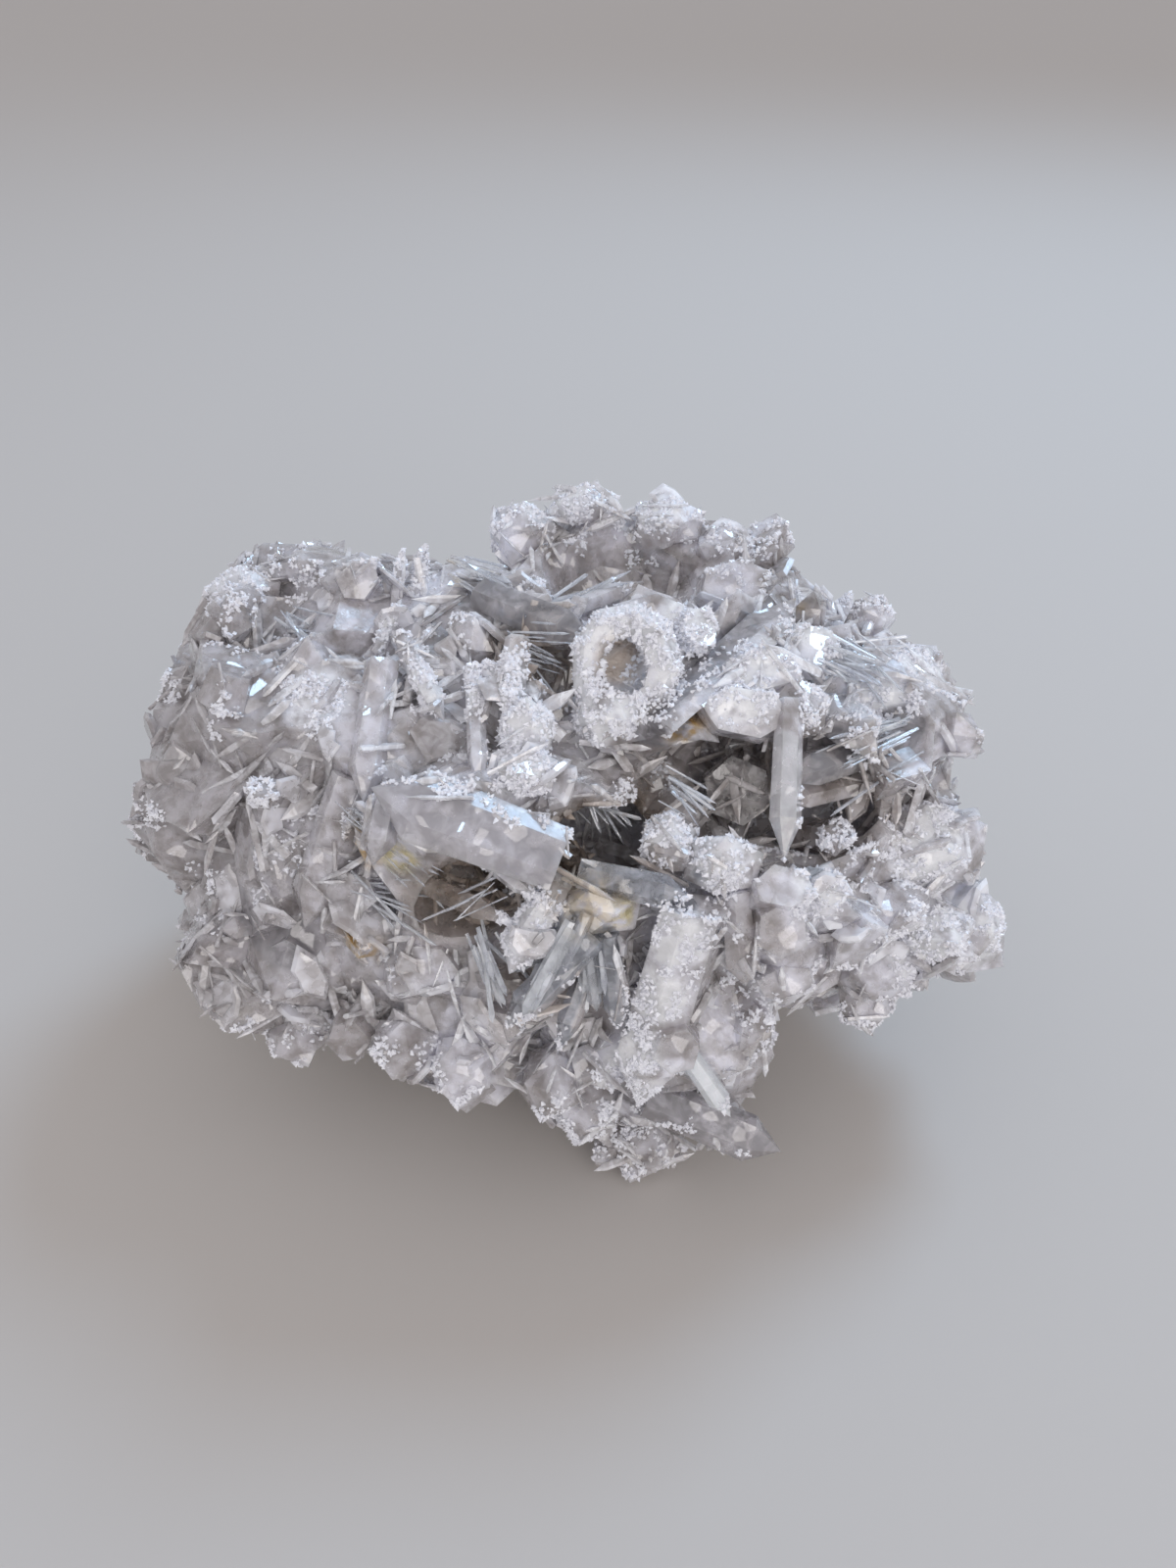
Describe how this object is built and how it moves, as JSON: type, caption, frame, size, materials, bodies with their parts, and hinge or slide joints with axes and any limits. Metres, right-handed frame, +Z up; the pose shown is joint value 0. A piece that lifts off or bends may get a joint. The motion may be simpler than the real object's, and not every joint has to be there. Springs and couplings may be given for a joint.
{
  "type": "quartz crystal cluster",
  "caption": "Loose cluster of colourless to milky quartz, its blades, prisms and sugary grains grown into one open mass that lies on a flat break.",
  "frame": {"origin": "on the flat break underneath, below the middle of the bounding box", "axes": "+X along the long side, to the right as the front is looked at; +Y from the front to the back; +Z up, away from the break"},
  "size_m": [0.09, 0.066, 0.057],
  "materials": {
    "milky_quartz": "translucent, glassy on the flat crystal faces and frosted on the edges"
  },
  "bodies": {
    "root": {"quartz_cluster": "milky_quartz"}
  },
  "joints": []
}
